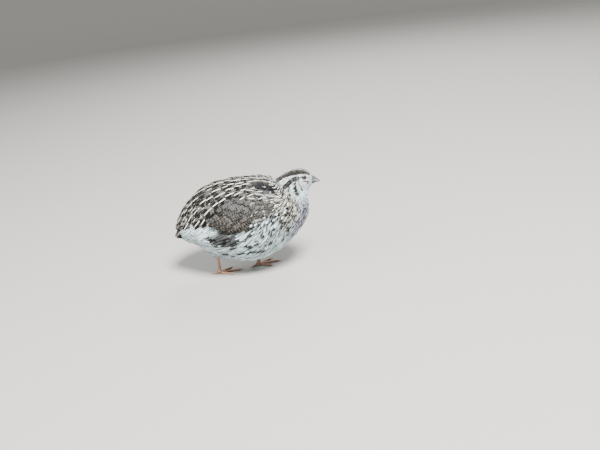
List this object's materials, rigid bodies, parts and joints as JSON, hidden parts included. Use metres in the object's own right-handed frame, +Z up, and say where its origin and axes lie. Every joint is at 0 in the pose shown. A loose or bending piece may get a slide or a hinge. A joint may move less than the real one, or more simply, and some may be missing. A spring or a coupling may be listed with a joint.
{
  "type": "coturnix quail",
  "caption": "Life-size standing coturnix quail in mid step, with folded wings, a short drooping tail and bare feet.",
  "frame": {"origin": "under the middle of the bird's length, on the level of the soles", "axes": "+X towards the tip of the bill, +Y to the bird's left, +Z up"},
  "size_m": [0.1716, 0.0874, 0.1121],
  "materials": {
    "plumage": "soft barred and streaked contour feathers",
    "wing_feathers": "finely barred grey-brown flight feathers and coverts",
    "tail_feathers": "streaked tail feathers",
    "down": "white loose feathers of the thigh",
    "bill": "pale horn",
    "eye": "wet dark eye",
    "leg_skin": "scaled flesh-pink skin",
    "claw": "worn horn"
  },
  "bodies": {
    "root": {"head": "plumage", "neck": "plumage", "torso": "plumage", "wing_right": "wing_feathers", "wing_left": "wing_feathers", "tail": "tail_feathers", "thigh_right": "down", "thigh_left": "down", "bill_upper": "bill", "bill_lower": "bill", "eye_right": "eye", "eye_left": "eye", "shank_right": "leg_skin", "shank_left": "leg_skin", "foot_right": "leg_skin", "foot_left": "leg_skin", "claw_right_middle": "claw", "claw_right_inner": "claw", "claw_right_outer": "claw", "claw_right_hind": "claw", "claw_left_middle": "claw", "claw_left_inner": "claw", "claw_left_outer": "claw", "claw_left_hind": "claw"}
  },
  "joints": []
}
